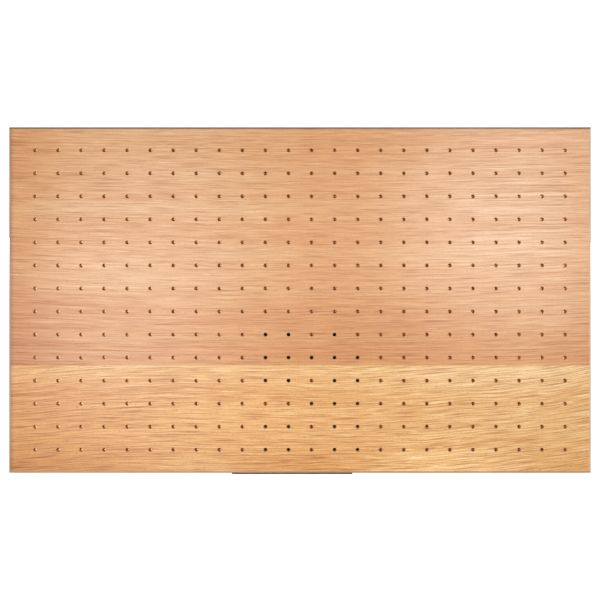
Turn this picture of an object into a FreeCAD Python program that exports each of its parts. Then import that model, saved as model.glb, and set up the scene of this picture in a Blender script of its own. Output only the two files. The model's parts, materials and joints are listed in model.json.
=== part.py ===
import FreeCAD, Part
import math
import os

# Pegboard display stand: an oak-veneered board with a 32 mm grid of peg holes, which leans
# back on a fold-out steel leg. Millimetres, +Z up, the front of the board faces -Y.
# Every piece is drawn on an upright board, with X along it, Z up from its bottom edge and Y
# back from its front face. leaned() then tips the board back and stands it on the floor.
# The leg is drawn folded into the board, and opened() swings it out to where it stands.

# Board
WIDTH = 808.0                 # outside size, with the lipping
HEIGHT = 480.0
VENEER = 0.6
FRONT_PLY = 12.0
BACK_PLY = 6.0
THICKNESS = VENEER + FRONT_PLY + BACK_PLY + VENEER
PLY_BACK = VENEER + FRONT_PLY             # where the two plywood panels are glued together
LIPPING = 2.0
ARRIS = 0.8                   # rounding along the edges of the lipping
LEAF_SEAM = 149.0             # height of the joint between the two veneer leaves

# Peg holes
PITCH = 32.0
COLUMNS = 24
ROWS = 14
PEG_RADIUS = 2.5
SHALLOW_DEPTH = 10.5          # of the seven holes that stop short of the leg's recess
SHALLOW_HOLES = [              # column from the left, row from the bottom
    (12, 0), (12, 1), (10, 2), (11, 2), (12, 3), (12, 5), (14, 5),
]

# How the board stands
LEAN = 13.0                   # degrees back from upright
LEG_ANGLE = 22.0              # degrees that the leg opens from the board
THIN_RUBBER = 0.6             # least thickness of the rubber under the board

# Recess for the leg, open at the bottom edge of the board
RECESS_X = 16.0               # its middle, on a column of holes
RECESS_WIDTH = 160.0
RECESS_TOP = 216.0

# Hinge of the leg
PIVOT_UP = 202.0
LEAF_THICKNESS = 1.0
LEAF_OFFSET = 2.4             # from the hinge's axis to the outside of a leaf
LEAF_LENGTH = 13.5
LEAF_NOTCH = 2.6              # leaf cut back beside the other leaf's knuckles
PIVOT_BACK = PLY_BACK + LEAF_OFFSET
KNUCKLES = 7
KNUCKLE_LENGTH = 20.0
KNUCKLE_GAP = 0.3
KNUCKLE_RADIUS = 2.2
PIN_RADIUS = 1.25
PIN_CLEARANCE = 0.08
PIN_HEAD_RADIUS = 1.9
PIN_HEAD = 0.8

# Leg, pressed from sheet steel
LEG_WIDTH = 150.0
SHEET = 1.5
LEG_FACE = PIVOT_BACK + LEAF_OFFSET       # inner face of the leg's web
LEG_FLANGE = 4.4
BEND_RADIUS = 1.2
HEEL = 9.3                    # web above the hinge, which meets the board leaf as a stop
FLANGE_START = 6.0            # side flanges begin this far below the hinge
WEB_LENGTH = 197.5

# Fixings
SCREW_RADIUS = 1.5
SCREW_HEAD_RADIUS = 2.5
SCREW_DEPTH = 9.0             # into the front panel
MAGNET_SCREW_DEPTH = 7.0
SCREW_POINT = 2.0
FIXING_CLEARANCE = 0.05
HINGE_FIXINGS = [-48.0, -16.0, 16.0, 48.0]       # from the middle of the recess
HINGE_FIXING_UP = 10.2        # from the hinge's axis
RIVET_HEAD_RADIUS = 2.6
RIVET_HEAD = 0.7
CROSS_LENGTH = 3.0
CROSS_WIDTH = 0.6
CROSS_DEPTH = 0.7

# Magnetic catches for the folded leg
MAGNET_RADIUS = 6.0
MAGNET_HEIGHT = LEG_FACE - PLY_BACK - 0.2
MAGNET_UP = 48.0
MAGNETS = [-16.0, 16.0]       # from the middle of the recess
MAGNET_HEAD_RADIUS = 3.0

# Rubber feet
FOOT_LEFT = -95.0
FOOT_RIGHT = 73.0
FOOT_FRONT = 9.0              # from the front face
FOOT_BACK = THICKNESS - ARRIS
PAD_LENGTH = 30.0
PAD_INSET = 8.0
PAD_FRONT = 14.0

X_AXIS = FreeCAD.Vector(1, 0, 0)
BACKWARD = FreeCAD.Vector(0, 1, 0)
SIN_LEAN = math.sin(math.radians(LEAN))
COS_LEAN = math.cos(math.radians(LEAN))
LIFT = THICKNESS * SIN_LEAN + THIN_RUBBER           # height of the front bottom edge
MIDDLE_Y = (HEIGHT * SIN_LEAN + THICKNESS * COS_LEAN) / 2
PIVOT_Z = PIVOT_UP * COS_LEAN - PIVOT_BACK * SIN_LEAN + LIFT
LEG_SLOPE = math.radians(LEG_ANGLE - LEAN)       # of the open leg, from upright

RECESS_LEFT = RECESS_X - RECESS_WIDTH / 2
RECESS_RIGHT = RECESS_X + RECESS_WIDTH / 2
LEG_LEFT = RECESS_X - LEG_WIDTH / 2
LEG_RIGHT = RECESS_X + LEG_WIDTH / 2
HINGE_LEFT = RECESS_X - KNUCKLES * KNUCKLE_LENGTH / 2
HINGE_RIGHT = RECESS_X + KNUCKLES * KNUCKLE_LENGTH / 2


def block(x0, x1, y0, y1, z0, z1):
    return Part.makeBox(x1 - x0, y1 - y0, z1 - z0, FreeCAD.Vector(x0, y0, z0))


def rod(radius, x, y0, y1, z):
    return Part.makeCylinder(radius, y1 - y0, FreeCAD.Vector(x, y0, z), BACKWARD)


def cone(radius_front, radius_back, x, y0, y1, z):
    return Part.makeCone(radius_front, radius_back, y1 - y0, FreeCAD.Vector(x, y0, z), BACKWARD)


def prism(outline, x0, x1):
    """Solid along X from points (y, z)."""
    points = [FreeCAD.Vector(x0, y, z) for y, z in outline]
    face = Part.Face(Part.makePolygon(points + points[:1]))
    return face.extrude(FreeCAD.Vector(x1 - x0, 0, 0))


def joined(pieces):
    """One solid from pieces that overlap or share faces."""
    return pieces[0].fuse(pieces[1:]).removeSplitter()


def rounded(shape, radius, chosen):
    """Fillet the edges whose middle is picked by chosen(x, y, z)."""
    edges = [edge for edge in shape.Edges if chosen(*edge.CenterOfMass)]
    return shape.makeFillet(radius, edges)


def leaned(shape):
    """Tip a piece back with the board and stand it on the floor."""
    tipped = shape.copy()
    tipped.rotate(FreeCAD.Vector(0, 0, 0), X_AXIS, -LEAN)
    tipped.translate(FreeCAD.Vector(0, -MIDDLE_Y, LIFT))
    return tipped


def opened(shape):
    """Swing a piece of the leg out from the folded place."""
    swung = shape.copy()
    swung.rotate(FreeCAD.Vector(0, PIVOT_BACK, PIVOT_UP), X_AXIS, LEG_ANGLE)
    return leaned(swung)


def floor_under_board(y):
    """Height of the floor, on the upright board, below a point y back from its face."""
    return (y * SIN_LEAN - LIFT) / COS_LEAN


def floor_under_leg(y):
    """Height of the floor for the open leg, at the folded leg's own place y."""
    out = y - PIVOT_BACK
    return PIVOT_UP - (PIVOT_Z + out * math.sin(LEG_SLOPE)) / math.cos(LEG_SLOPE)


def peg_centre(column, row):
    x = (column - (COLUMNS - 1) / 2) * PITCH
    return x, HEIGHT / 2 + (row - (ROWS - 1) / 2) * PITCH


def drilled_sheet(z0, z1, y0, y1, skipped):
    """Sheet the width of the core, with the peg holes that fall inside it."""
    half = WIDTH / 2 - LIPPING
    corners = [(-half, z0), (half, z0), (half, z1), (-half, z1), (-half, z0)]
    wires = [Part.makePolygon([FreeCAD.Vector(x, y0, z) for x, z in corners])]
    for column in range(COLUMNS):
        for row in range(ROWS):
            x, z = peg_centre(column, row)
            if z0 < z < z1 and (column, row) not in skipped:
                circle = Part.makeCircle(PEG_RADIUS, FreeCAD.Vector(x, y0, z), BACKWARD)
                wires.append(Part.Wire(circle))
    face = Part.makeFace(wires, "Part::FaceMakerBullseye")
    return face.extrude(FreeCAD.Vector(0, y1 - y0, 0))


def front_panel():
    panel = drilled_sheet(LIPPING, HEIGHT - LIPPING, VENEER, PLY_BACK, SHALLOW_HOLES)
    cuts = []
    for column, row in SHALLOW_HOLES:
        x, z = peg_centre(column, row)
        cuts.append(rod(PEG_RADIUS, x, VENEER, SHALLOW_DEPTH, z))
    pilot = SCREW_RADIUS + FIXING_CLEARANCE
    for depth, places in [(SCREW_DEPTH, hinge_screw_places()), (MAGNET_SCREW_DEPTH, magnet_places())]:
        end = PLY_BACK - depth - FIXING_CLEARANCE
        cuts.extend(rod(pilot, x, end, PLY_BACK, z) for x, z in places)
    return panel.cut(cuts)


def back_sheet(z0, z1, y0, y1):
    """Plain sheet over the back, cut out around the recess."""
    half = WIDTH / 2 - LIPPING
    sheet = block(-half, half, y0, y1, z0, z1)
    return sheet.cut(block(RECESS_LEFT, RECESS_RIGHT, y0, y1, 0, RECESS_TOP))


def meets(place, plane):
    return abs(place - plane) < 0.01


def lipping_flat(z0, z1):
    """Lipping along the top or the bottom, with its two outer edges rounded."""
    outside = z0 if z0 == 0 else z1
    strip = block(-WIDTH / 2, WIDTH / 2, 0, THICKNESS, z0, z1)
    return rounded(strip, ARRIS, lambda x, y, z: meets(z, outside) and abs(x) < 1)


def lipping_side(x0, x1):
    outside = x0 if x0 < 0 else x1
    strip = block(x0, x1, 0, THICKNESS, LIPPING, HEIGHT - LIPPING)
    middle = HEIGHT / 2
    return rounded(strip, ARRIS, lambda x, y, z: meets(x, outside) and abs(z - middle) < 1)


def lipping_bottom():
    gap = block(RECESS_LEFT, RECESS_RIGHT, PLY_BACK, THICKNESS, 0, LIPPING)
    return lipping_flat(0, LIPPING).cut(gap)


def rubber_wedge(x0, x1, front):
    """Rubber between the bottom edge of the leaning board and the floor."""
    outline = [(front, 0), (FOOT_BACK, 0), (FOOT_BACK, floor_under_board(FOOT_BACK)),
               (front, floor_under_board(front))]
    return prism(outline, x0, x1)


def board_foot():
    """Strip under the middle of the board, cut back where the recess opens through the edge."""
    strip = rubber_wedge(FOOT_LEFT, FOOT_RIGHT, FOOT_FRONT)
    return strip.cut(block(RECESS_LEFT, RECESS_RIGHT, PLY_BACK, THICKNESS, -LIFT, 0))


def corner_pads():
    left = -WIDTH / 2 + PAD_INSET
    return [rubber_wedge(left, left + PAD_LENGTH, PAD_FRONT),
            rubber_wedge(-left - PAD_LENGTH, -left, PAD_FRONT)]


def hinge_screw_places():
    return [(RECESS_X + x, PIVOT_UP + HINGE_FIXING_UP) for x in HINGE_FIXINGS]


def rivet_places():
    return [(RECESS_X + x, PIVOT_UP - HINGE_FIXING_UP) for x in HINGE_FIXINGS]


def magnet_places():
    return [(RECESS_X + x, MAGNET_UP) for x in MAGNETS]


def screw(x, z, head_radius, top, length):
    """Countersunk screw driven forward, its head flush at y = top."""
    neck = top - (head_radius - SCREW_RADIUS)
    tip = top - length
    body = joined([cone(SCREW_RADIUS, head_radius, x, neck, top, z),
                   rod(SCREW_RADIUS, x, tip + SCREW_POINT, neck, z),
                   cone(0.2, SCREW_RADIUS, x, tip, tip + SCREW_POINT, z)])
    half = CROSS_LENGTH / 2
    slim = CROSS_WIDTH / 2
    return body.cut([block(x - half, x + half, top - CROSS_DEPTH, top, z - slim, z + slim),
                     block(x - slim, x + slim, top - CROSS_DEPTH, top, z - half, z + half)])


def screw_seat(x, z, head_radius, top, bottom):
    """Countersunk hole for a screw, from y = top forward to bottom."""
    neck = top - (head_radius - SCREW_RADIUS)
    wide = FIXING_CLEARANCE
    return joined([cone(SCREW_RADIUS + wide, head_radius + wide, x, neck, top, z),
                   rod(SCREW_RADIUS + wide, x, bottom, neck + wide, z)])


def hinge_leaf(side, own):
    """One leaf of the hinge. side is 1 for the board's leaf, above the axis and on the front
    of it, and -1 for the leg's leaf. own is 0 or 1: which of every two knuckles it has."""
    near = PIVOT_BACK - side * LEAF_OFFSET
    far = near + side * LEAF_THICKNESS
    y0, y1 = min(near, far), max(near, far)
    end = PIVOT_UP + side * LEAF_LENGTH
    notch = PIVOT_UP + side * LEAF_NOTCH
    pieces = [block(HINGE_LEFT, HINGE_RIGHT, y0, y1, min(end, notch), max(end, notch))]
    for index in range(own, KNUCKLES, 2):
        left = HINGE_LEFT + index * KNUCKLE_LENGTH + KNUCKLE_GAP / 2
        right = left + KNUCKLE_LENGTH - KNUCKLE_GAP
        pieces.append(block(left, right, y0, y1, min(PIVOT_UP, notch), max(PIVOT_UP, notch)))
        centre = FreeCAD.Vector(left, PIVOT_BACK, PIVOT_UP)
        pieces.append(Part.makeCylinder(KNUCKLE_RADIUS, right - left, centre, X_AXIS))
    start = FreeCAD.Vector(HINGE_LEFT, PIVOT_BACK, PIVOT_UP)
    bore = Part.makeCylinder(PIN_RADIUS + PIN_CLEARANCE, HINGE_RIGHT - HINGE_LEFT, start, X_AXIS)
    return joined(pieces).cut(bore)


def board_leaf():
    top = PLY_BACK + LEAF_THICKNESS
    seats = [screw_seat(x, z, SCREW_HEAD_RADIUS, top, PLY_BACK)
             for x, z in hinge_screw_places()]
    return hinge_leaf(1, 0).cut(seats)


def leg_leaf():
    holes = [rod(SCREW_RADIUS + FIXING_CLEARANCE, x, PIVOT_BACK, LEG_FACE, z)
             for x, z in rivet_places()]
    return hinge_leaf(-1, 1).cut(holes)


def hinge_pin():
    """Pin through all the knuckles, with a peened head at each end."""
    pieces = []
    for radius, x0, x1 in [(PIN_RADIUS, HINGE_LEFT, HINGE_RIGHT),
                           (PIN_HEAD_RADIUS, HINGE_LEFT - PIN_HEAD, HINGE_LEFT),
                           (PIN_HEAD_RADIUS, HINGE_RIGHT, HINGE_RIGHT + PIN_HEAD)]:
        start = FreeCAD.Vector(x0, PIVOT_BACK, PIVOT_UP)
        pieces.append(Part.makeCylinder(radius, x1 - x0, start, X_AXIS))
    return joined(pieces)


def hinge_screws():
    top = PLY_BACK + LEAF_THICKNESS
    return [screw(x, z, SCREW_HEAD_RADIUS, top, SCREW_DEPTH + LEAF_THICKNESS)
            for x, z in hinge_screw_places()]


def rivets():
    """Rivets through the leg's web and leaf, flush outside and round-headed inside."""
    outside = LEG_FACE + SHEET
    inside = LEG_FACE - LEAF_THICKNESS
    neck = outside - (SCREW_HEAD_RADIUS - SCREW_RADIUS)
    made = []
    for x, z in rivet_places():
        head = rod(RIVET_HEAD_RADIUS, x, inside - RIVET_HEAD, inside, z)
        head = rounded(head, RIVET_HEAD / 2, lambda ex, ey, ez: ey < inside - RIVET_HEAD / 2)
        made.append(joined([head, rod(SCREW_RADIUS, x, inside, neck, z),
                            cone(SCREW_RADIUS, SCREW_HEAD_RADIUS, x, neck, outside, z)]))
    return made


def magnets():
    """Ring magnets, countersunk for their screws."""
    top = PLY_BACK + MAGNET_HEIGHT
    made = []
    for x, z in magnet_places():
        ring = rod(MAGNET_RADIUS, x, PLY_BACK, top, z)
        made.append(ring.cut(screw_seat(x, z, MAGNET_HEAD_RADIUS, top, PLY_BACK)))
    return made


def magnet_screws():
    top = PLY_BACK + MAGNET_HEIGHT
    length = MAGNET_SCREW_DEPTH + MAGNET_HEIGHT
    return [screw(x, z, MAGNET_HEAD_RADIUS, top, length) for x, z in magnet_places()]


def leg_plate():
    """Shallow tray of sheet steel: a web, two side flanges and an end flange."""
    outside = LEG_FACE + SHEET
    inside = LEG_FACE - LEG_FLANGE
    bottom = PIVOT_UP - WEB_LENGTH
    flange_top = PIVOT_UP - FLANGE_START
    tray = joined([block(LEG_LEFT, LEG_RIGHT, LEG_FACE, outside, bottom, PIVOT_UP + HEEL),
                   block(LEG_LEFT, LEG_LEFT + SHEET, inside, outside, bottom, flange_top),
                   block(LEG_RIGHT - SHEET, LEG_RIGHT, inside, outside, bottom, flange_top),
                   block(LEG_LEFT, LEG_RIGHT, inside, outside, bottom, bottom + SHEET)])
    tray = rounded(tray, BEND_RADIUS,
                   lambda x, y, z: meets(y, outside) and z < PIVOT_UP + HEEL - 1)
    seats = []
    for x, z in rivet_places():
        neck = outside - (SCREW_HEAD_RADIUS - SCREW_RADIUS)
        wide = FIXING_CLEARANCE
        seats.append(rod(SCREW_RADIUS + wide, x, LEG_FACE, outside, z))
        seats.append(cone(SCREW_RADIUS + wide, SCREW_HEAD_RADIUS + wide, x, neck, outside, z))
    return tray.cut(seats)


def leg_foot():
    """Rubber pad under the leg, cut to lie flat on the floor when the leg is open."""
    inside = LEG_FACE - LEG_FLANGE
    outside = LEG_FACE + SHEET
    bottom = PIVOT_UP - WEB_LENGTH
    outline = [(inside, bottom), (outside - BEND_RADIUS, bottom),
               (outside - BEND_RADIUS, floor_under_leg(outside - BEND_RADIUS)),
               (inside, floor_under_leg(inside))]
    return prism(outline, LEG_LEFT + BEND_RADIUS, LEG_RIGHT - BEND_RADIUS)


def save(name, shape, place):
    """Write one sub-part. A list is a group of separate solids in one node."""
    if isinstance(shape, list):
        placed = Part.makeCompound([place(piece) for piece in shape])
    else:
        placed = place(shape)
    placed.exportStep("parts/" + name + ".step")


def build():
    os.makedirs("parts", exist_ok=True)
    core_top = HEIGHT - LIPPING
    back = THICKNESS - VENEER
    board = {
        "face_veneer_upper": drilled_sheet(LEAF_SEAM, core_top, 0, VENEER, []),
        "face_veneer_lower": drilled_sheet(LIPPING, LEAF_SEAM, 0, VENEER, []),
        "front_panel": front_panel(),
        "back_panel": back_sheet(LIPPING, core_top, PLY_BACK, back),
        "back_veneer_upper": back_sheet(LEAF_SEAM, core_top, back, THICKNESS),
        "back_veneer_lower": back_sheet(LIPPING, LEAF_SEAM, back, THICKNESS).Solids,
        "lipping_top": lipping_flat(core_top, HEIGHT),
        "lipping_bottom": lipping_bottom(),
        "lipping_left": lipping_side(-WIDTH / 2, -WIDTH / 2 + LIPPING),
        "lipping_right": lipping_side(WIDTH / 2 - LIPPING, WIDTH / 2),
        "board_foot": board_foot(),
        "corner_pads": corner_pads(),
        "hinge_board_leaf": board_leaf(),
        "hinge_pin": hinge_pin(),
        "hinge_screws": hinge_screws(),
        "catch_magnets": magnets(),
        "magnet_screws": magnet_screws(),
    }
    leg = {
        "leg_plate": leg_plate(),
        "hinge_leg_leaf": leg_leaf(),
        "hinge_rivets": rivets(),
        "leg_foot_pad": leg_foot(),
    }
    for name, shape in board.items():
        save(name, shape, leaned)
    for name, shape in leg.items():
        save(name, shape, opened)


build()
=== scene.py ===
import json
import math

import bpy
from mathutils import Matrix, Vector


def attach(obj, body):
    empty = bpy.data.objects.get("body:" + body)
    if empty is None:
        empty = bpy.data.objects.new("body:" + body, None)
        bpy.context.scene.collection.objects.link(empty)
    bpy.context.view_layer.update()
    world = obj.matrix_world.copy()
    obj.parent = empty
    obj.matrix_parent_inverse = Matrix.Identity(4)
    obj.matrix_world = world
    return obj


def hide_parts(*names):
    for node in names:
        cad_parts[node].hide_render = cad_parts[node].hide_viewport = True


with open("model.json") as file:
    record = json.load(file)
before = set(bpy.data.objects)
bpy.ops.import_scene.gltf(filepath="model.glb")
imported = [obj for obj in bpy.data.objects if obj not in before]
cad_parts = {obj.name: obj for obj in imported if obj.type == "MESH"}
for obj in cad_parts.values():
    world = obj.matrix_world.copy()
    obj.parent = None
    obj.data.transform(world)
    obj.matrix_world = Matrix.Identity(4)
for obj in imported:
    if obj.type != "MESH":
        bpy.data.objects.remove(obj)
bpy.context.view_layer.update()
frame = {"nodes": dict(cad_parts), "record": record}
nodes = frame["nodes"]
MM = 0.001


# ---------------------------------------------------------------- board space
# x runs along the board, y up its face and z out of its face, with the origin
# on the face at the middle of its bottom edge. Depths into the board are negative.

COLUMNS = 24
ROWS = 14

mounts = {mount["name"]: mount for mount in frame["record"]["mounts"]}
low_bore = mounts["peg_hole_bottom_left"]
high_bore = mounts["peg_hole_top_right"]
BORE_RADIUS = low_bore["dims"]["r_mm"] * MM
BORE_LENGTH = low_bore["dims"]["length_mm"] * MM
OUT = Vector(low_bore["axis"])
ALONG = Vector((1, 0, 0))
UP = OUT.cross(ALONG)
TURN = Matrix((ALONG, UP, OUT)).transposed()


def mouth(bore):
    """Where a bore opens on the face."""
    return Vector(bore["pos_m"]) + OUT * BORE_LENGTH / 2


def board_points(name, origin):
    """The vertices of a CAD node, turned upright about an origin."""
    return [TURN.transposed() @ (v.co - origin) for v in nodes[name].data.vertices]


def board_box(name):
    """Least and greatest x, y and z of a CAD node in board space."""
    points = board_points(name, ORIGIN)
    return [(min(p[i] for p in points), max(p[i] for p in points)) for i in range(3)]


# The lowest hole on the left leads to the bottom edge, and then to the middle of the board.
low_edge = min(p.y for p in board_points("lipping_bottom", mouth(low_bore)))
start = mouth(low_bore) + UP * low_edge
ORIGIN = start - ALONG * start.x
FRAME_OF_BOARD = Matrix.Translation(ORIGIN) @ TURN.to_4x4()
to_board = FRAME_OF_BOARD.inverted()

first = to_board @ mouth(low_bore)
last = to_board @ mouth(high_bore)
PITCH = (last.x - first.x) / (COLUMNS - 1)
LEFT = board_box("lipping_left")[0][0]
RIGHT = board_box("lipping_right")[0][1]
HEIGHT = board_box("lipping_top")[1][1]


# ---------------------------------------------------------------- drilled sheets

SEGMENTS = 24                 # sides of the polygon that stands for a round hole
SIDE = SEGMENTS // 4
FIRST_TURN = -135             # degrees; a hole's points start towards its cell's lower left corner
RIM = 0.35 * MM               # worn edge round the mouth of a hole
SHOULDER = 0.3 * RIM
ON_WALL = 1.05                # a CAD vertex within this many radii of a hole's middle is on its wall
SHARP = math.radians(50)      # faces that meet at more than this keep a crisp edge
SAME_PLACE = 7                # decimals of a metre to which shared points agree


def splits(low, high, centres):
    """The hole centres inside a sheet, and the lines that part it into a cell for each of them."""
    inner = [c for c in centres if low < c < high]
    between = [(a + b) / 2 for a, b in zip(inner, inner[1:])]
    return inner, [low] + between + [high]


def cell_border(x0, x1, y0, y1):
    """Points round a cell, from its lower left corner, the same number on each side."""
    points = []
    for i in range(SIDE):
        points.append((x0 + (x1 - x0) * i / SIDE, y0))
    for i in range(SIDE):
        points.append((x1, y0 + (y1 - y0) * i / SIDE))
    for i in range(SIDE):
        points.append((x1 - (x1 - x0) * i / SIDE, y1))
    for i in range(SIDE):
        points.append((x0, y1 - (y1 - y0) * i / SIDE))
    return points


def circle(x, y, radius):
    """Points round a hole, in step with the points of its cell's border."""
    turns = [math.radians(FIRST_TURN + 360 * i / SEGMENTS) for i in range(SEGMENTS)]
    return [(x + radius * math.cos(t), y + radius * math.sin(t)) for t in turns]


def cell_of(x, y):
    """Column and row of the hole nearest to a place on the board."""
    return round((x - first.x) / PITCH), round((y - first.y) / PITCH)


def hole_ends(name):
    """The z at which each hole of a CAD node ends, by its column and row."""
    ends = {}
    for p in board_points(name, ORIGIN):
        cell = cell_of(p.x, p.y)
        centre = (first.x + PITCH * cell[0], first.y + PITCH * cell[1])
        if math.hypot(p.x - centre[0], p.y - centre[1]) < BORE_RADIUS * ON_WALL:
            ends[cell] = min(ends.get(cell, 0), p.z)
    return ends


class Sheet:
    """Collects a closed mesh in board space, sharing the points that coincide."""

    def __init__(self):
        self.points = []
        self.index = {}
        self.faces = []
        self.smooth = []
        self.walls = []

    def point(self, x, y, z):
        """The number of the point at this place, added if it is new."""
        key = (round(x, SAME_PLACE), round(y, SAME_PLACE), round(z, SAME_PLACE))
        if key not in self.index:
            self.index[key] = len(self.points)
            self.points.append((x, y, z))
        return self.index[key]

    def ring(self, outline, z):
        return [self.point(x, y, z) for x, y in outline]

    def face(self, corners, smooth=False, wall=False):
        self.faces.append(tuple(corners))
        self.smooth.append(smooth)
        self.walls.append(int(wall))

    def band(self, ring_a, ring_b, smooth=False, wall=False):
        """A strip of faces between two closed rings with the same number of points."""
        for i in range(len(ring_a)):
            j = (i + 1) % len(ring_a)
            self.face((ring_a[i], ring_a[j], ring_b[j], ring_b[i]), smooth, wall)

    def made(self, name, finishes):
        """The mesh as an object; finishes are the materials of the sheet and of its holes."""
        mesh = bpy.data.meshes.new(name)
        mesh.from_pydata([FRAME_OF_BOARD @ Vector(p) for p in self.points], [], self.faces)
        for finish in finishes:
            mesh.materials.append(finish)
        mesh.polygons.foreach_set("material_index", self.walls)
        mesh.update()
        mesh.set_sharp_from_angle(angle=SHARP)
        mesh.polygons.foreach_set("use_smooth", self.smooth)
        piece = bpy.data.objects.new(name, mesh)
        bpy.context.scene.collection.objects.link(piece)
        return piece


def edge_loops(sheet, xs, ys, back, front):
    """The four narrow sides that close a sheet."""
    def line(stops):
        inner = [a + (b - a) * i / SIDE for a, b in zip(stops, stops[1:]) for i in range(SIDE)]
        return inner + [stops[-1]]

    fine_x = line(xs)
    fine_y = line(ys)
    outline = [(x, ys[0]) for x in fine_x[:-1]]
    outline += [(xs[-1], y) for y in fine_y[:-1]]
    outline += [(x, ys[-1]) for x in reversed(fine_x[1:])]
    outline += [(xs[0], y) for y in reversed(fine_y[1:])]
    sheet.band(sheet.ring(outline, back), sheet.ring(outline, front))


def drilled(name, node, rims, finishes):
    """A finer mesh in place of a drilled CAD node; rims eases the mouths of its holes."""
    (x0, x1), (y0, y1), (back, front) = board_box(node)
    columns, xs = splits(x0, x1, [first.x + PITCH * i for i in range(COLUMNS)])
    rows, ys = splits(y0, y1, [first.y + PITCH * i for i in range(ROWS)])
    ends = hole_ends(node)
    opening = [(BORE_RADIUS, front)]
    if rims:
        opening = [
            (BORE_RADIUS + RIM, front),
            (BORE_RADIUS + SHOULDER, front - SHOULDER),
            (BORE_RADIUS, front - RIM),
        ]
    sheet = Sheet()
    for j, y in enumerate(rows):
        for i, x in enumerate(columns):
            border = cell_border(xs[i], xs[i + 1], ys[j], ys[j + 1])
            end = ends[cell_of(x, y)]
            steps = opening + [(BORE_RADIUS, end)]
            rings = [sheet.ring(circle(x, y, radius), z) for radius, z in steps]
            sheet.band(sheet.ring(border, front), rings[0])
            for ring_a, ring_b in zip(rings, rings[1:]):
                sheet.band(ring_a, ring_b, smooth=True, wall=True)
            behind = sheet.ring(border, back)
            stops_short = end - back > RIM
            if stops_short:
                sheet.face(rings[-1], wall=True)
                sheet.face(reversed(behind))
            else:
                sheet.band(rings[-1], behind)
    edge_loops(sheet, xs, ys, back, front)
    piece = sheet.made(name, finishes)
    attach(piece, "board")
    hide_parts(node)


# ---------------------------------------------------------------- shader nodes

def node(tree, kind, inputs=None, **settings):
    """A shader node; each input is a plain value or the socket that feeds it."""
    made = tree.nodes.new("ShaderNode" + kind)
    for key, value in settings.items():
        setattr(made, key, value)
    for key, value in (inputs or {}).items():
        if isinstance(value, bpy.types.NodeSocket):
            tree.links.new(value, made.inputs[key])
        else:
            made.inputs[key].default_value = value
    return made


def calc(tree, operation, *values):
    return node(tree, "Math", dict(enumerate(values)), operation=operation).outputs[0]


def xyz(tree, x, y, z):
    return node(tree, "CombineXYZ", {0: x, 1: y, 2: z}).outputs[0]


def noise(tree, vector, scale, detail=2.0, roughness=0.5):
    return node(tree, "TexNoise", {
        "Vector": vector, "Scale": scale, "Detail": detail, "Roughness": roughness,
    }).outputs["Fac"]


def scaled(tree, vector, x, y, z, shift=(0, 0, 0)):
    inputs = {"Vector": vector, "Location": shift, "Scale": (x, y, z)}
    return node(tree, "Mapping", inputs).outputs[0]


def spread(tree, value, low, high, to_low=0.0, to_high=1.0):
    """A value held between low and high, then stretched to run from to_low to to_high."""
    return node(tree, "MapRange", {
        "Value": value, "From Min": low, "From Max": high, "To Min": to_low, "To Max": to_high,
    }).outputs[0]


def mixed(tree, factor, a, b, mode="MIX"):
    """Colour a, turned towards colour b by the factor."""
    made = node(tree, "Mix", data_type="RGBA", blend_type=mode)
    for socket, value in zip((made.inputs[0], made.inputs[6], made.inputs[7]), (factor, a, b)):
        if isinstance(value, bpy.types.NodeSocket):
            tree.links.new(value, socket)
        else:
            socket.default_value = value
    return made.outputs[2]


def linear(r, g, b):
    """Scene linear colour of an 8-bit sRGB one."""
    def one(c):
        c /= 255
        return c / 12.92 if c <= 0.04045 else ((c + 0.055) / 1.055) ** 2.4
    return (one(r), one(g), one(b), 1.0)


def material(name, roughness=0.5, metallic=0.0, **shader):
    """A new material with its node tree and its surface shader."""
    made = bpy.data.materials.new(name)
    made.use_nodes = True
    tree = made.node_tree
    surface = next(n for n in tree.nodes if n.type == "BSDF_PRINCIPLED")
    surface.inputs["Roughness"].default_value = roughness
    surface.inputs["Metallic"].default_value = metallic
    for key, value in shader.items():
        surface.inputs[key.replace("_", " ")].default_value = value
    return made, tree, surface


def bumped(tree, surface, height, distance, strength):
    made = node(tree, "Bump", {"Height": height, "Distance": distance, "Strength": strength})
    tree.links.new(made.outputs[0], surface.inputs["Normal"])


def place(tree):
    """Position in board space, in metres."""
    at = node(tree, "TexCoord").outputs["Object"]
    return node(tree, "Mapping", {
        "Vector": at, "Location": ORIGIN, "Rotation": TURN.to_euler(),
    }, vector_type="TEXTURE").outputs[0]


# ---------------------------------------------------------------- materials

PLY = 1.5 * MM                # thickness of one ply
MOUTH_SHADE_FROM = -0.5 * MM      # painted shade: a hole's wall is darkest above this depth
MOUTH_SHADE_TO = -3.0 * MM        # and plain wood below this one


def grain_space(tree, at, rise, bend, drift):
    """Board space bent to follow oak grain, which climbs towards the ends of the board and wanders.

    rise holds how steeply it climbs by the cube and by the square of x, bend is how far it
    wanders, and drift moves to another part of the noise.
    """
    x, y, z = node(tree, "SeparateXYZ", {0: at}).outputs
    x2 = calc(tree, "MULTIPLY", x, x)
    x3 = calc(tree, "MULTIPLY", x2, x)
    climb = calc(tree, "MULTIPLY_ADD", x3, rise[0], calc(tree, "MULTIPLY", x2, rise[1]))
    wander = noise(tree, scaled(tree, at, 5.0, 6.0, 1.0, drift), 1.0, 2.0, 0.5)
    wave = noise(tree, scaled(tree, at, 24.0, 50.0, 1.0, drift), 1.0, 1.0, 0.5)
    lift = calc(tree, "MULTIPLY_ADD", wander, bend, calc(tree, "MULTIPLY", wave, 1.6 * MM))
    across = calc(tree, "SUBTRACT", calc(tree, "SUBTRACT", y, climb), lift)
    bent = xyz(tree, x, across, z)
    return node(tree, "VectorMath", {0: bent, 1: drift}, operation="ADD").outputs[0]


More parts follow.
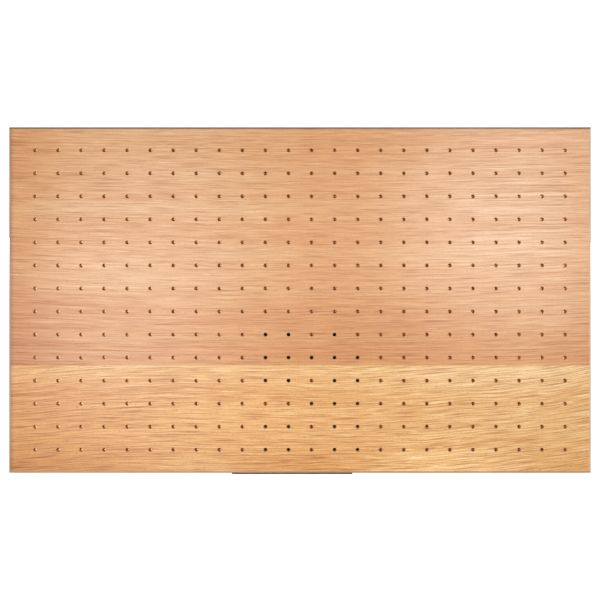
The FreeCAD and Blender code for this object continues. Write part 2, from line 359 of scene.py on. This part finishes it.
def toned(tree, at, colour, tones):
    """Colour with soft oval tones: each has a centre, half its size, a tint and a strength."""
    for centre, (half_width, half_height), tint, strength in tones:
        away = node(tree, "VectorMath", {0: at, 1: centre}, operation="SUBTRACT").outputs[0]
        shrink = (1 / half_width, 1 / half_height, 0)
        oval = node(tree, "VectorMath", {0: away, 1: shrink}, operation="MULTIPLY").outputs[0]
        far = node(tree, "VectorMath", {0: oval}, operation="LENGTH").outputs["Value"]
        soft = node(tree, "MapRange", {
            "Value": far, "From Min": 1.0, "From Max": 0.0, "To Max": strength,
        }, interpolation_type="SMOOTHSTEP").outputs[0]
        colour = mixed(tree, soft, colour, tint, "MULTIPLY")
    return colour


def knotted(tree, at, colour, centre):
    """Colour with one small pin knot that has an uneven outline."""
    away = node(tree, "VectorMath", {0: at, 1: centre}, operation="DISTANCE").outputs["Value"]
    uneven = calc(tree, "MULTIPLY_ADD", noise(tree, at, 900.0, 1.0), 1.2 * MM, away)
    inside = spread(tree, uneven, 2.6 * MM, 1.2 * MM, 0.0, 0.75)
    return mixed(tree, inside, colour, linear(118, 66, 34))


def oak(name, pale, deep, streak, crest, shine=0.42, rise=(0.0, 0.0), bend=8 * MM,
        drift=(0.0, 0.0, 0.0), contrast=1.0, spacing=1.0, knot=None, tones=()):
    """Flat-cut oak veneer with its grain along the board."""
    made, tree, surface = material(name, roughness=shine, Specular_IOR_Level=0.3)
    at = place(tree)
    grain = grain_space(tree, at, rise, bend, drift)
    broad = noise(tree, scaled(tree, grain, 1.6, 26.0, 1.0), 1.0, 2.0, 0.5)
    bands = noise(tree, scaled(tree, grain, 3.0, 150.0, 1.0), 1.0, 1.0, 0.5)
    lines = noise(tree, scaled(tree, grain, 4.5, 460.0 * spacing, 1.0), 1.0, 1.0, 0.6)
    fine = noise(tree, scaled(tree, grain, 24.0, 800.0 * spacing, 1.0, (2, 5, 8)), 1.0, 1.0, 0.5)
    pores = noise(tree, scaled(tree, grain, 230.0, 1400.0, 1.0), 1.0, 1.0, 0.5)
    flecks = noise(tree, scaled(tree, grain, 34.0, 520.0, 1.0, (7, 3, 1)), 1.0, 1.0, 0.5)

    # The grain lines add up to one shade, above and below zero.
    shade = calc(tree, "MULTIPLY", calc(tree, "SUBTRACT", lines, 0.5), 0.75)
    shade = calc(tree, "MULTIPLY_ADD", calc(tree, "SUBTRACT", fine, 0.5), 1.3, shade)
    shade = calc(tree, "MULTIPLY_ADD", calc(tree, "SUBTRACT", bands, 0.5), 0.2, shade)
    dark = spread(tree, shade, 0.0, -0.42, 0.0, 0.9 * contrast)
    light = spread(tree, shade, 0.0, 0.42, 0.0, 0.8 * contrast)

    colour = mixed(tree, spread(tree, broad, 0.32, 0.68), deep, pale)
    colour = mixed(tree, dark, colour, streak)
    colour = mixed(tree, light, colour, crest)
    colour = mixed(tree, spread(tree, pores, 0.44, 0.22, 0.0, 0.6 * contrast), colour, streak)
    colour = mixed(tree, spread(tree, flecks, 0.62, 0.76, 0.0, 0.6 * contrast), colour, crest)
    colour = toned(tree, at, colour, tones)
    if knot:
        colour = knotted(tree, at, colour, knot)
    tree.links.new(colour, surface.inputs["Base Color"])
    relief = calc(tree, "ADD", calc(tree, "MULTIPLY", lines, 0.6), calc(tree, "MULTIPLY", pores, 0.8))
    bumped(tree, surface, relief, 0.06 * MM, 0.6)
    gloss = spread(tree, lines, 0.3, 0.7, shine + 0.06, shine - 0.04)
    tree.links.new(gloss, surface.inputs["Roughness"])
    return made


def plywood(name):
    """Birch plywood: crossed plies with dark glue lines on its edges, and grain along its faces."""
    made, tree, surface = material(name, roughness=0.62, Specular_IOR_Level=0.35)
    at = place(tree)
    z = node(tree, "SeparateXYZ", {0: at}).outputs[2]
    pair = calc(tree, "FRACT", calc(tree, "MULTIPLY", z, 1 / (2 * PLY)))
    turned = calc(tree, "GREATER_THAN", pair, 0.5)
    through = calc(tree, "FRACT", calc(tree, "MULTIPLY", z, 1 / PLY))
    from_middle = calc(tree, "ABSOLUTE", calc(tree, "SUBTRACT", through, 0.5))
    glue = spread(tree, from_middle, 0.42, 0.48)
    along = noise(tree, scaled(tree, at, 20.0, 600.0, 600.0), 1.0, 3.0, 0.6)
    end = noise(tree, scaled(tree, at, 900.0, 900.0, 900.0), 1.0, 2.0, 0.6)
    broad = noise(tree, scaled(tree, at, 4.0, 18.0, 18.0), 1.0, 2.0, 0.5)
    side = mixed(tree, along, linear(250, 208, 154), linear(254, 224, 180))
    butt = mixed(tree, end, linear(176, 126, 84), linear(214, 168, 122))
    normal = node(tree, "NewGeometry").outputs["Normal"]
    facing = node(tree, "VectorMath", {0: normal, 1: OUT}, operation="DOT_PRODUCT").outputs["Value"]
    flat = calc(tree, "GREATER_THAN", calc(tree, "ABSOLUTE", facing), 0.7)
    plies = mixed(tree, turned, side, butt)
    edge = mixed(tree, calc(tree, "MULTIPLY", glue, 0.6), plies, linear(84, 50, 28))
    colour = mixed(tree, flat, edge, side)
    colour = mixed(tree, spread(tree, broad, 0.3, 0.7, 0.0, 0.3), colour, linear(244, 200, 146))
    tree.links.new(colour, surface.inputs["Base Color"])
    bumped(tree, surface, calc(tree, "ADD", along, end), 0.08 * MM, 0.5)
    tree.links.new(spread(tree, along, 0.3, 0.7, 0.72, 0.56), surface.inputs["Roughness"])
    return made


def drilled_wood(name):
    """Wall of a drilled hole: end grain in rings, darkened towards the mouth as painted shade."""
    made, tree, surface = material(name, roughness=0.8, Specular_IOR_Level=0.2)
    at = place(tree)
    rings = noise(tree, scaled(tree, at, 200.0, 200.0, 3500.0), 1.0, 2.0, 0.6)
    fibre = noise(tree, at, 2200.0, 2.0, 0.6)
    colour = mixed(tree, rings, linear(176, 120, 64), linear(218, 160, 98))
    colour = mixed(tree, spread(tree, fibre, 0.55, 0.75, 0.0, 0.5), colour, linear(242, 194, 136))
    depth = node(tree, "SeparateXYZ", {0: at}).outputs[2]
    # Painted shade: the wall is darkened near the face, a dark ring round the mouth of each hole.
    mouth_shade = spread(tree, depth, MOUTH_SHADE_TO, MOUTH_SHADE_FROM, 0.0, 0.75)
    colour = mixed(tree, mouth_shade, colour, linear(92, 54, 28))
    tree.links.new(colour, surface.inputs["Base Color"])
    bumped(tree, surface, calc(tree, "ADD", rings, fibre), 0.08 * MM, 0.6)
    tree.links.new(spread(tree, fibre, 0.3, 0.7, 0.74, 0.88), surface.inputs["Roughness"])
    return made


def edging(name, pale, dark, streak, run):
    """Oak lipping with its grain along the strip; run is "x" or "y"."""
    made, tree, surface = material(name, roughness=0.5, Specular_IOR_Level=0.4)
    at = place(tree)
    stretch = (14.0, 500.0, 700.0) if run == "x" else (500.0, 14.0, 700.0)
    lines = noise(tree, scaled(tree, at, *stretch), 1.0, 2.0, 0.6)
    broad = noise(tree, scaled(tree, at, *(s / 9 for s in stretch)), 1.0, 2.0, 0.5)
    pores = noise(tree, scaled(tree, at, *(s * 3 for s in stretch)), 1.0, 1.0, 0.5)
    colour = mixed(tree, spread(tree, broad, 0.3, 0.7), dark, pale)
    colour = mixed(tree, spread(tree, lines, 0.55, 0.25, 0.0, 0.6), colour, streak)
    colour = mixed(tree, spread(tree, pores, 0.36, 0.24, 0.0, 0.5), colour, streak)
    tree.links.new(colour, surface.inputs["Base Color"])
    bumped(tree, surface, calc(tree, "ADD", lines, pores), 0.06 * MM, 0.5)
    tree.links.new(spread(tree, lines, 0.3, 0.7, 0.58, 0.44), surface.inputs["Roughness"])
    return made


def powder_coat(name):
    """Matt black powder coat over steel: fine orange peel, a little dust and rubbed patches."""
    made, tree, surface = material(name, roughness=0.5, Specular_IOR_Level=0.45)
    at = node(tree, "TexCoord").outputs["Object"]
    peel = noise(tree, at, 900.0, 2.0, 0.55)
    speck = noise(tree, at, 2600.0, 1.0, 0.5)
    cloud = noise(tree, at, 14.0, 3.0, 0.6)
    rub = noise(tree, scaled(tree, at, 60.0, 300.0, 300.0), 1.0, 2.0, 0.6)
    colour = mixed(tree, spread(tree, cloud, 0.3, 0.7), linear(34, 20, 13), linear(44, 29, 21))
    colour = mixed(tree, spread(tree, speck, 0.66, 0.8, 0.0, 0.5), colour, linear(74, 62, 52))
    colour = mixed(tree, spread(tree, rub, 0.68, 0.8, 0.0, 0.3), colour, linear(66, 56, 48))
    tree.links.new(colour, surface.inputs["Base Color"])
    texture = calc(tree, "ADD", peel, calc(tree, "MULTIPLY", speck, 0.3))
    bumped(tree, surface, texture, 0.12 * MM, 0.55)
    tree.links.new(spread(tree, cloud, 0.3, 0.7, 0.44, 0.58), surface.inputs["Roughness"])
    return made


def dark_steel(name):
    """Blackened steel strip with rolling marks along it and a thin film of oil."""
    made, tree, surface = material(name, roughness=0.4, metallic=0.85)
    at = node(tree, "TexCoord").outputs["Object"]
    marks = noise(tree, scaled(tree, at, 30.0, 1200.0, 1200.0), 1.0, 2.0, 0.6)
    cloud = noise(tree, at, 60.0, 3.0, 0.6)
    spots = noise(tree, at, 420.0, 2.0, 0.6)
    colour = mixed(tree, spread(tree, cloud, 0.3, 0.7), linear(46, 46, 50), linear(70, 69, 72))
    colour = mixed(tree, spread(tree, marks, 0.55, 0.8, 0.0, 0.5), colour, linear(104, 102, 102))
    colour = mixed(tree, spread(tree, spots, 0.62, 0.78, 0.0, 0.5), colour, linear(60, 50, 44))
    tree.links.new(colour, surface.inputs["Base Color"])
    bumped(tree, surface, marks, 0.04 * MM, 0.5)
    tree.links.new(spread(tree, cloud, 0.3, 0.7, 0.34, 0.5), surface.inputs["Roughness"])
    return made


def bright_metal(name, pale, deep, rough, grain, tint):
    """Plated metal: crystal patches, grain of them to the metre, and fine marks from its making."""
    made, tree, surface = material(name, roughness=rough, metallic=1.0)
    at = node(tree, "TexCoord").outputs["Object"]
    patches = node(tree, "TexVoronoi", {"Vector": at, "Scale": grain}).outputs["Color"]
    patch = node(tree, "SeparateColor", {0: patches}).outputs[0]
    marks = noise(tree, scaled(tree, at, 400.0, 2400.0, 2400.0), 1.0, 2.0, 0.6)
    cloud = noise(tree, at, 150.0, 3.0, 0.6)
    colour = mixed(tree, spread(tree, patch, 0.0, 1.0, 0.2, 0.8), deep, pale)
    colour = mixed(tree, spread(tree, cloud, 0.5, 0.75, 0.0, 0.4), colour, tint)
    tree.links.new(colour, surface.inputs["Base Color"])
    bumped(tree, surface, marks, 0.02 * MM, 0.5)
    tree.links.new(spread(tree, cloud, 0.3, 0.7, rough - 0.06, rough + 0.1), surface.inputs["Roughness"])
    return made


def rubber(name):
    """Black rubber with a moulding grain, turned brownish by wood dust in places."""
    made, tree, surface = material(name, roughness=0.8, Specular_IOR_Level=0.3)
    at = node(tree, "TexCoord").outputs["Object"]
    grain = noise(tree, at, 1800.0, 2.0, 0.6)
    dust = noise(tree, at, 70.0, 4.0, 0.65)
    colour = mixed(tree, spread(tree, dust, 0.45, 0.75), linear(42, 33, 25), linear(68, 55, 43))
    colour = mixed(tree, spread(tree, grain, 0.6, 0.8, 0.0, 0.5), colour, linear(88, 75, 61))
    tree.links.new(colour, surface.inputs["Base Color"])
    bumped(tree, surface, grain, 0.12 * MM, 0.6)
    tree.links.new(spread(tree, dust, 0.3, 0.7, 0.72, 0.9), surface.inputs["Roughness"])
    return made


# ---------------------------------------------------------------- pieces

# Tints that multiply the colour of the veneer, and the tones that use them. Tones are in board
# space, in metres, and make broad areas paler or darker. Some of them are painted light: the two pale
# ovals of the upper leaf are painted sheen, the bright spot low on the lower leaf is a painted
# highlight, and the SHADED strips along the top and left edges are painted shade.
PALER = (1.05, 1.20, 1.50, 1)
DEEPER = (0.84, 0.68, 0.40, 1)
# Painted highlight: whitens the veneer where a hot spot of light falls.
PAINTED_HOT_SPOT = (1.20, 1.38, 1.75, 1)
# Painted shade for the dark strips along the edges of the veneer.
SHADED = (0.50, 0.40, 0.34, 1)
upper = oak("oak_upper_leaf", pale=linear(153, 112, 72), deep=linear(148, 100, 58),
            streak=linear(118, 70, 34), crest=linear(163, 129, 91), rise=(0.0, 0.0375), contrast=0.9,
            tones=(
                # Painted sheen: these two pale ovals lie where the lamps' hot spots fall on the veneer.
                ((-0.200, 0.395, 0), (0.32, 0.34), PALER, 1.0),
                ((0.310, 0.390, 0), (0.28, 0.34), PALER, 1.0),
                ((LEFT, 0.5 * HEIGHT, 0), (0.10, 0.50), DEEPER, 0.6),
                ((RIGHT, 0.5 * HEIGHT, 0), (0.06, 0.50), DEEPER, 0.35),
                ((0.080, 0.380, 0), (0.17, 0.42), DEEPER, 0.3),
                ((0.000, 0.140, 0), (0.95, 0.18), DEEPER, 0.8),
                ((LEFT, 0.150, 0), (0.30, 0.20), DEEPER, 0.7),
                # Painted shade: dark strips along the top and left edges, where the eased edges turn
                # from the light.
                ((0.000, HEIGHT, 0), (1.60, 0.005), SHADED, 1.0),
                ((LEFT, 0.300, 0), (0.008, 0.60), SHADED, 0.8),
            ))
lower = oak("oak_lower_leaf", pale=linear(158, 117, 65), deep=linear(152, 106, 52),
            streak=linear(121, 71, 25), crest=linear(170, 136, 89), rise=(0.274, 0.0556), bend=10 * MM,
            drift=(3.0, 2.0, 5.0), contrast=1.45, spacing=1.15, knot=(-0.3097, 0.0910, 0.0),
            tones=(
                ((0.050, 0.152, 0), (0.95, 0.05), PALER, 0.8),
                ((0.360, 0.090, 0), (0.42, 0.17), PALER, 0.9),
                # Painted highlight: a hot spot by the bottom edge, right of the middle.
                ((0.205, 0.005, 0), (0.17, 0.06), PAINTED_HOT_SPOT, 1.0),
                ((-0.150, 0.008, 0), (0.08, 0.045), PALER, 0.5),
                ((LEFT, 0.050, 0), (0.38, 0.22), DEEPER, 1.0),
                ((LEFT, 0.000, 0), (0.34, 0.05), DEEPER, 0.8),
                ((RIGHT, 0.000, 0), (0.14, 0.04), DEEPER, 0.5),
                ((0.000, 0.000, 0), (0.20, 0.04), DEEPER, 0.7),
                # Painted shade: a dark strip along the left edge.
                ((LEFT, 0.070, 0), (0.008, 0.30), SHADED, 0.8),
            ))
behind = oak("oak_behind", pale=linear(189, 143, 98), deep=linear(177, 125, 77),
             streak=linear(144, 92, 51), crest=linear(201, 161, 119), rise=(0.1, 0.03), bend=13 * MM,
             drift=(9.0, 4.0, 2.0), contrast=0.7, shine=0.5)
ply = plywood("birch_plywood")
bore = drilled_wood("bore_wall")
coat = powder_coat("powder_coat_black")
steel = dark_steel("hinge_steel")
zinc = bright_metal("zinc_plate", pale=linear(206, 208, 212), deep=linear(164, 168, 176),
                    rough=0.34, grain=700.0, tint=linear(196, 190, 168))
nickel = bright_metal("nickel_plate", pale=linear(222, 216, 204), deep=linear(196, 190, 178),
                      rough=0.2, grain=300.0, tint=linear(186, 176, 158))
gum = rubber("rubber_black")

drilled("veneer_upper", "face_veneer_upper", rims=True, finishes=(upper, bore))
drilled("veneer_lower", "face_veneer_lower", rims=True, finishes=(lower, bore))
drilled("drilled_panel", "front_panel", rims=False, finishes=(ply, bore))

finishes = {
    "back_panel": ply,
    "back_veneer_upper": behind,
    "back_veneer_lower": behind,
    # The four lippings are one oak edging coloured four ways as painted shade: the top darkest, the
    # bottom and left lighter and the right the palest.
    "lipping_top": edging("lipping_oak_top_painted_shade", linear(74, 51, 34), linear(58, 40, 27),
                          linear(42, 29, 20), "x"),
    "lipping_bottom": edging("lipping_oak_bottom_painted_shade", linear(128, 104, 78), linear(108, 84, 60),
                             linear(78, 56, 38), "x"),
    "lipping_left": edging("lipping_oak_left_painted_shade", linear(128, 96, 70), linear(108, 80, 58),
                           linear(80, 54, 36), "y"),
    "lipping_right": edging("lipping_oak_right_painted_shade", linear(150, 130, 110), linear(130, 110, 92),
                            linear(98, 76, 58), "y"),
    "board_foot": gum,
    "corner_pads": gum,
    "leg_foot_pad": gum,
    "hinge_board_leaf": steel,
    "hinge_leg_leaf": steel,
    "hinge_pin": zinc,
    "hinge_screws": zinc,
    "magnet_screws": zinc,
    "hinge_rivets": zinc,
    "catch_magnets": nickel,
    "leg_plate": coat,
}
for name, finish in finishes.items():
    for slot in nodes[name].material_slots:
        slot.material = finish


# ---------------------------------------------------------------- studio
# Distances in metres. The floor and backdrop glow, so that they stay pale.

FLOOR_GLOW = 0.78             # round the stand
FAR_GLOW = 0.34               # well in front of it, behind the camera
EXTRA_GLOW = 0.22             # added well behind it, where the camera looks
FLOOR_FLAT = 8.0              # radius of the flat floor
FLOOR_BEND = 4.0              # radius of the curve up to the backdrop
BACKDROP_TOP = 9.0
BACKDROP_SIDES = 64
BEND_STEPS = 12
WORLD_LIGHT = 0.12
CAMERA_DISTANCE = 1.78
LENS = 76.9                   # focal length in millimetres
LAMP_DISTANCE = 1.2
LAMP_BEHIND = -1.6
TURNED_IN = 0.4               # how far out the lamps behind aim, as a part of how far out they are


def sweep_profile():
    """Radius and height down the floor and up the backdrop."""
    profile = [(0.5, 0.0), (2.0, 0.0), (4.0, 0.0), (FLOOR_FLAT, 0.0)]
    for i in range(1, BEND_STEPS + 1):
        t = math.radians(90 * i / BEND_STEPS)
        profile.append((FLOOR_FLAT + FLOOR_BEND * math.sin(t), FLOOR_BEND - FLOOR_BEND * math.cos(t)))
    return profile + [(FLOOR_FLAT + FLOOR_BEND, BACKDROP_TOP)]


def studio_white():
    """Matt white whose glow rises from behind the camera to behind the stand."""
    made, tree, surface = material("studio_white", roughness=0.9, Specular_IOR_Level=0.1)
    surface.inputs["Base Color"].default_value = (0.4, 0.4, 0.4, 1)
    surface.inputs["Emission Color"].default_value = (1, 1, 1, 1)
    y = node(tree, "SeparateXYZ", {0: node(tree, "TexCoord").outputs["Object"]}).outputs[1]
    front = spread(tree, y, -2.2, -0.4, FAR_GLOW, FLOOR_GLOW)
    glow = calc(tree, "ADD", front, spread(tree, y, 0.3, 2.5, 0.0, EXTRA_GLOW))
    tree.links.new(glow, surface.inputs["Emission Strength"])
    return made


def sweep():
    """A pale round floor that curves up into a backdrop on every side, far from the stand."""
    profile = sweep_profile()
    points = [(0.0, 0.0, 0.0)]
    for radius, z in profile:
        for k in range(BACKDROP_SIDES):
            t = math.radians(360 * k / BACKDROP_SIDES)
            points.append((radius * math.cos(t), radius * math.sin(t), z))
    faces = [(0, 1 + k, 1 + (k + 1) % BACKDROP_SIDES) for k in range(BACKDROP_SIDES)]
    for i in range(len(profile) - 1):
        for k in range(BACKDROP_SIDES):
            a = 1 + i * BACKDROP_SIDES + k
            b = 1 + i * BACKDROP_SIDES + (k + 1) % BACKDROP_SIDES
            faces.append((a, a + BACKDROP_SIDES, b + BACKDROP_SIDES, b))
    mesh = bpy.data.meshes.new("studio_floor")
    mesh.from_pydata(points, [], faces)
    mesh.polygons.foreach_set("use_smooth", [True] * len(mesh.polygons))
    mesh.materials.append(studio_white())
    floor = bpy.data.objects.new("studio_floor", mesh)
    bpy.context.scene.collection.objects.link(floor)


def soft_lamp(name, spot, aim, width, height, power):
    """A rectangular lamp at a spot, turned to its aim."""
    data = bpy.data.lights.new(name, "AREA")
    data.shape = "RECTANGLE"
    data.size = width
    data.size_y = height
    data.energy = power
    lamp = bpy.data.objects.new(name, data)
    lamp.location = spot
    lamp.rotation_mode = "QUATERNION"
    lamp.rotation_quaternion = (Vector(spot) - Vector(aim)).to_track_quat("Z", "Y")
    bpy.context.scene.collection.objects.link(lamp)


sweep()

world = bpy.data.worlds.new("studio")
world.use_nodes = True
sky = world.node_tree.nodes["Background"]
sky.inputs["Color"].default_value = (1, 1, 1, 1)
sky.inputs["Strength"].default_value = WORLD_LIGHT
bpy.context.scene.world = world

# The lamps in front face the board squarely, and those behind turn in towards its middle.
for name, x, y, out, width, height, power in (
    ("lamp_left", -0.42, 0.16, LAMP_DISTANCE, 0.24, 0.30, 16.5),
    ("lamp_right", 0.46, 0.38, LAMP_DISTANCE, 0.24, 0.30, 15.5),
    ("lamp_behind_left", -1.10, 0.75, LAMP_BEHIND, 0.8, 0.8, 16.0),
    ("lamp_behind_right", 0.90, 0.75, LAMP_BEHIND, 0.8, 0.8, 10.0),
):
    aim = (x, y, 0) if out > 0 else (TURNED_IN * x, HEIGHT / 2, 0)
    spot = FRAME_OF_BOARD @ Vector((x, y, out))
    soft_lamp(name, spot, FRAME_OF_BOARD @ Vector(aim), width, height, power)

camera_data = bpy.data.cameras.new("camera")
camera_data.lens = LENS
camera_data.clip_end = 60
camera = bpy.data.objects.new("camera", camera_data)
camera.location = FRAME_OF_BOARD @ Vector((0, HEIGHT / 2, CAMERA_DISTANCE))
camera.rotation_mode = "QUATERNION"
camera.rotation_quaternion = OUT.to_track_quat("Z", "Y")
bpy.context.scene.collection.objects.link(camera)
bpy.context.scene.camera = camera
bpy.context.scene.view_settings.view_transform = "Standard"
